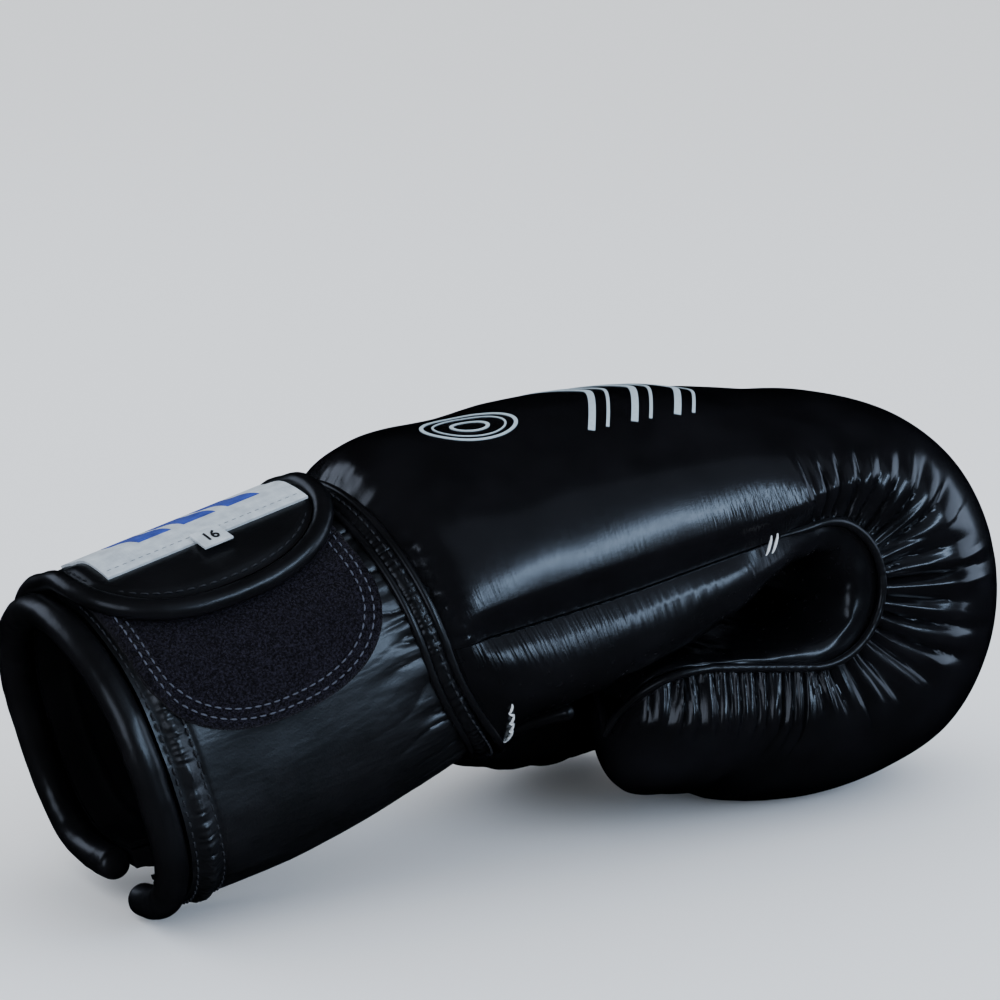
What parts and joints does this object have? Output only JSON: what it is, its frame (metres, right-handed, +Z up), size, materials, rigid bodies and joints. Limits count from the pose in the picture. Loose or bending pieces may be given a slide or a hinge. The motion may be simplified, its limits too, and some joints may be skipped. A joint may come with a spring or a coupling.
{
  "type": "muay thai glove",
  "caption": "Padded right-hand sparring glove in smooth black leather: gathered knuckles, curled finger roll, attached thumb, and a slit cuff closed by a wide hook-and-loop strap.",
  "frame": {"origin": "middle of the flattened patch under the finger roll, on the surface the glove lies on", "axes": "+X from the cuff toward the knuckles, +Y toward the thumb side, +Z up through the back of the hand"},
  "size_m": [0.3399, 0.1446, 0.1403],
  "materials": {
    "shell_leather": "smooth semi-gloss, fine grain",
    "palm_leather": "smooth satin, softly creased",
    "thumb_leather": "smooth semi-gloss, fine grain",
    "cuff_leather": "smooth satin, softly creased",
    "binding_leather": "rolled and stitched, satin",
    "strap_leather": "smooth satin",
    "lining": "matt, fine weave",
    "loop_pile": "matt fuzzy pile",
    "label": "matt woven satin"
  },
  "bodies": {
    "root": {"shell": "shell_leather", "palm_panel": "palm_leather", "thumb": "thumb_leather", "seam_piping": "binding_leather", "palm_tab": "binding_leather", "wrist_binding": "binding_leather", "cuff": "cuff_leather", "cuff_lining": "lining", "rim_binding": "binding_leather", "loop_patch": "loop_pile", "strap": "strap_leather", "strap_edging": "binding_leather", "strap_label": "label", "size_tag": "label"}
  },
  "joints": []
}
